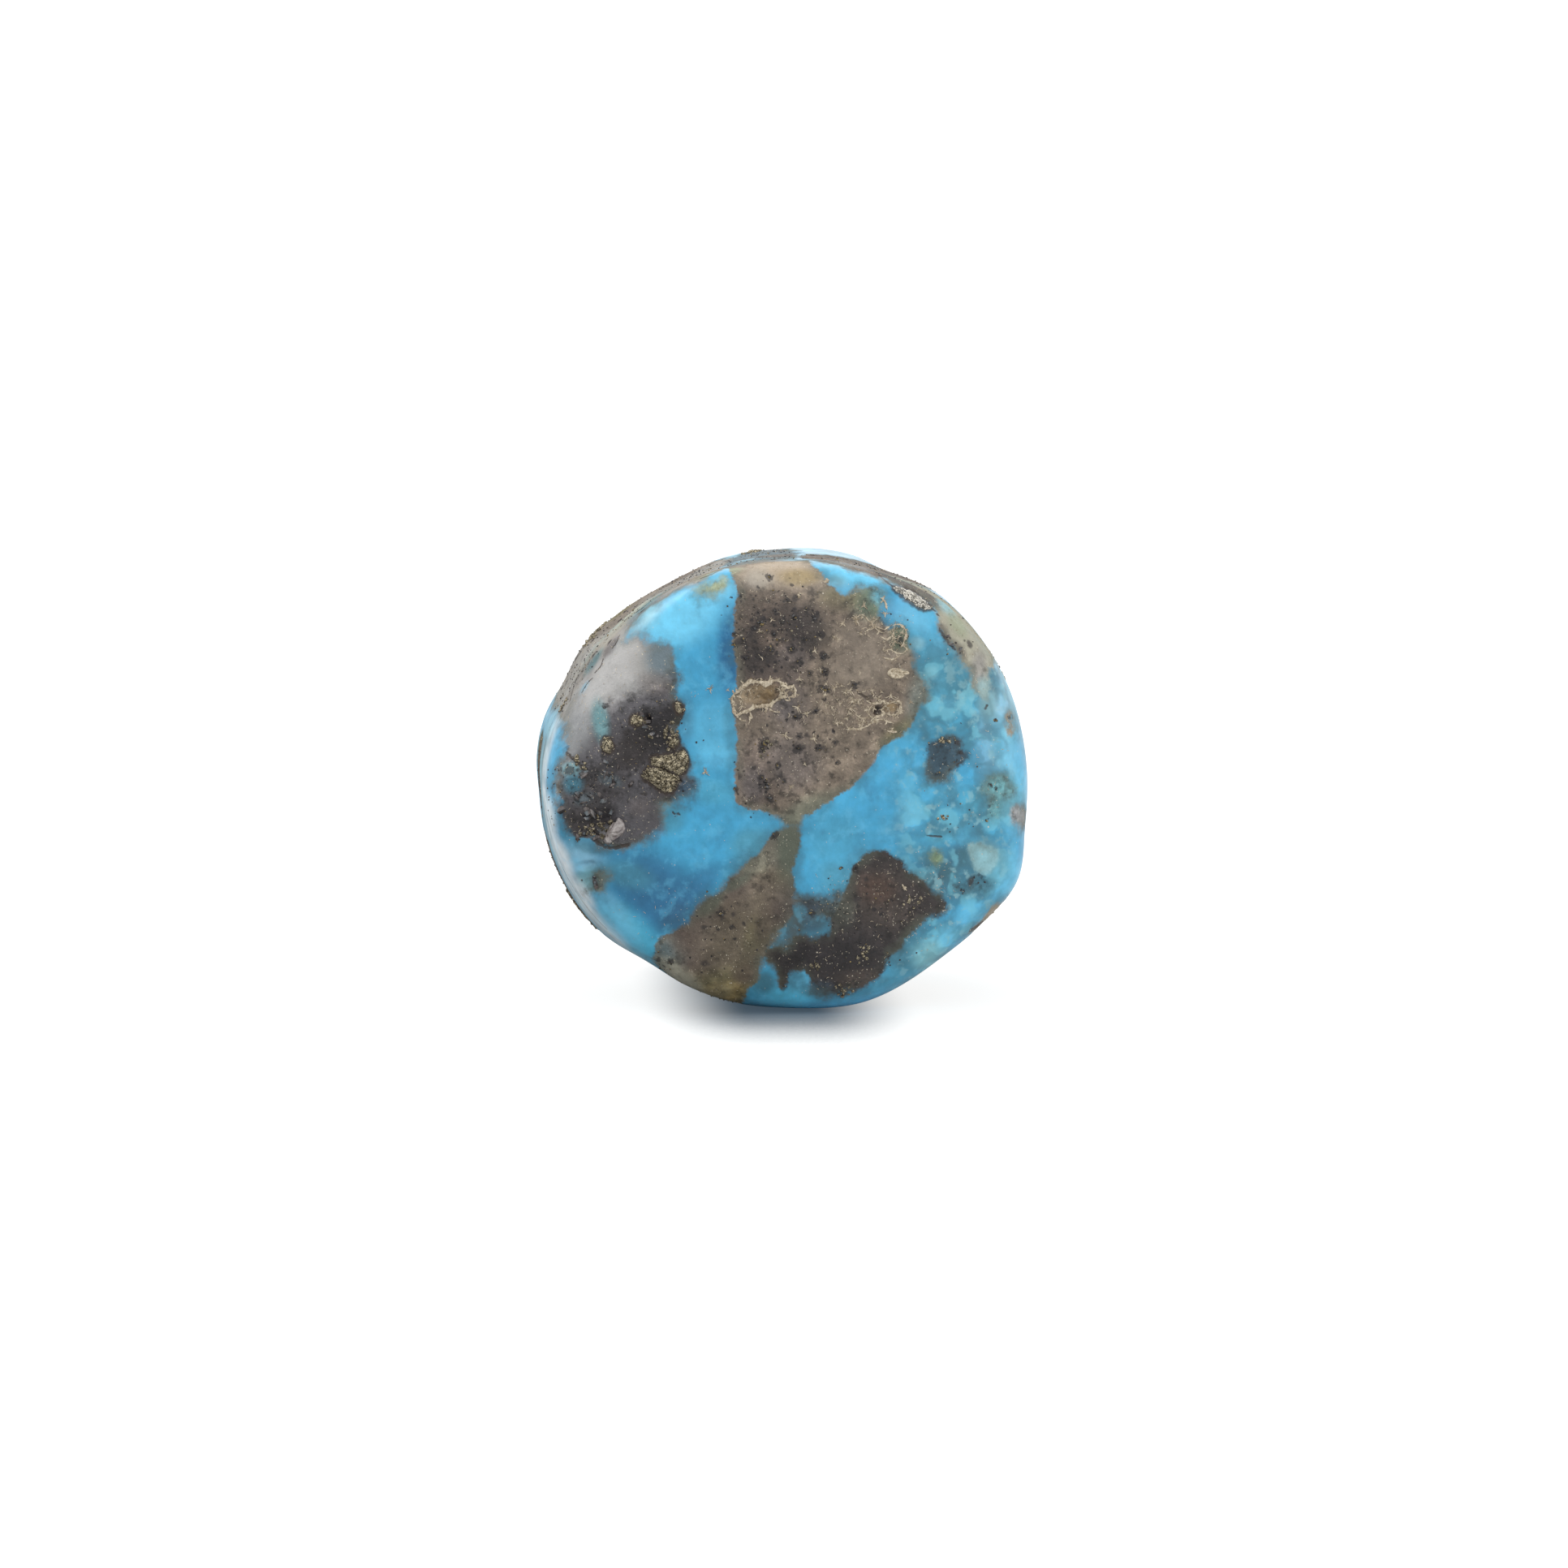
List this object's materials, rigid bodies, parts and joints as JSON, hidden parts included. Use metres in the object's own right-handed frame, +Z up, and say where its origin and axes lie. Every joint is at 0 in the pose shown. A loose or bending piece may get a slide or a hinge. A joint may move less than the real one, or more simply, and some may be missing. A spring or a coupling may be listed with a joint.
{
  "type": "turquoise nugget",
  "caption": "Polished turquoise stone, a short rounded barrel with a broad domed face, blue with brown-grey matrix and pyrite, standing on a small worn flat.",
  "frame": {"origin": "on the surface that the stone stands on, under the middle of its box", "axes": "+X to the right across the broad face, +Y from the face to the rear, +Z up"},
  "size_m": [0.0204, 0.0148, 0.0189],
  "materials": {
    "turquoise": "hand polished, with brown-grey matrix",
    "pyrite": "dull metallic grains",
    "crust": "dry, pale and flaky"
  },
  "bodies": {
    "root": {"turquoise_nugget": "turquoise"}
  },
  "joints": []
}
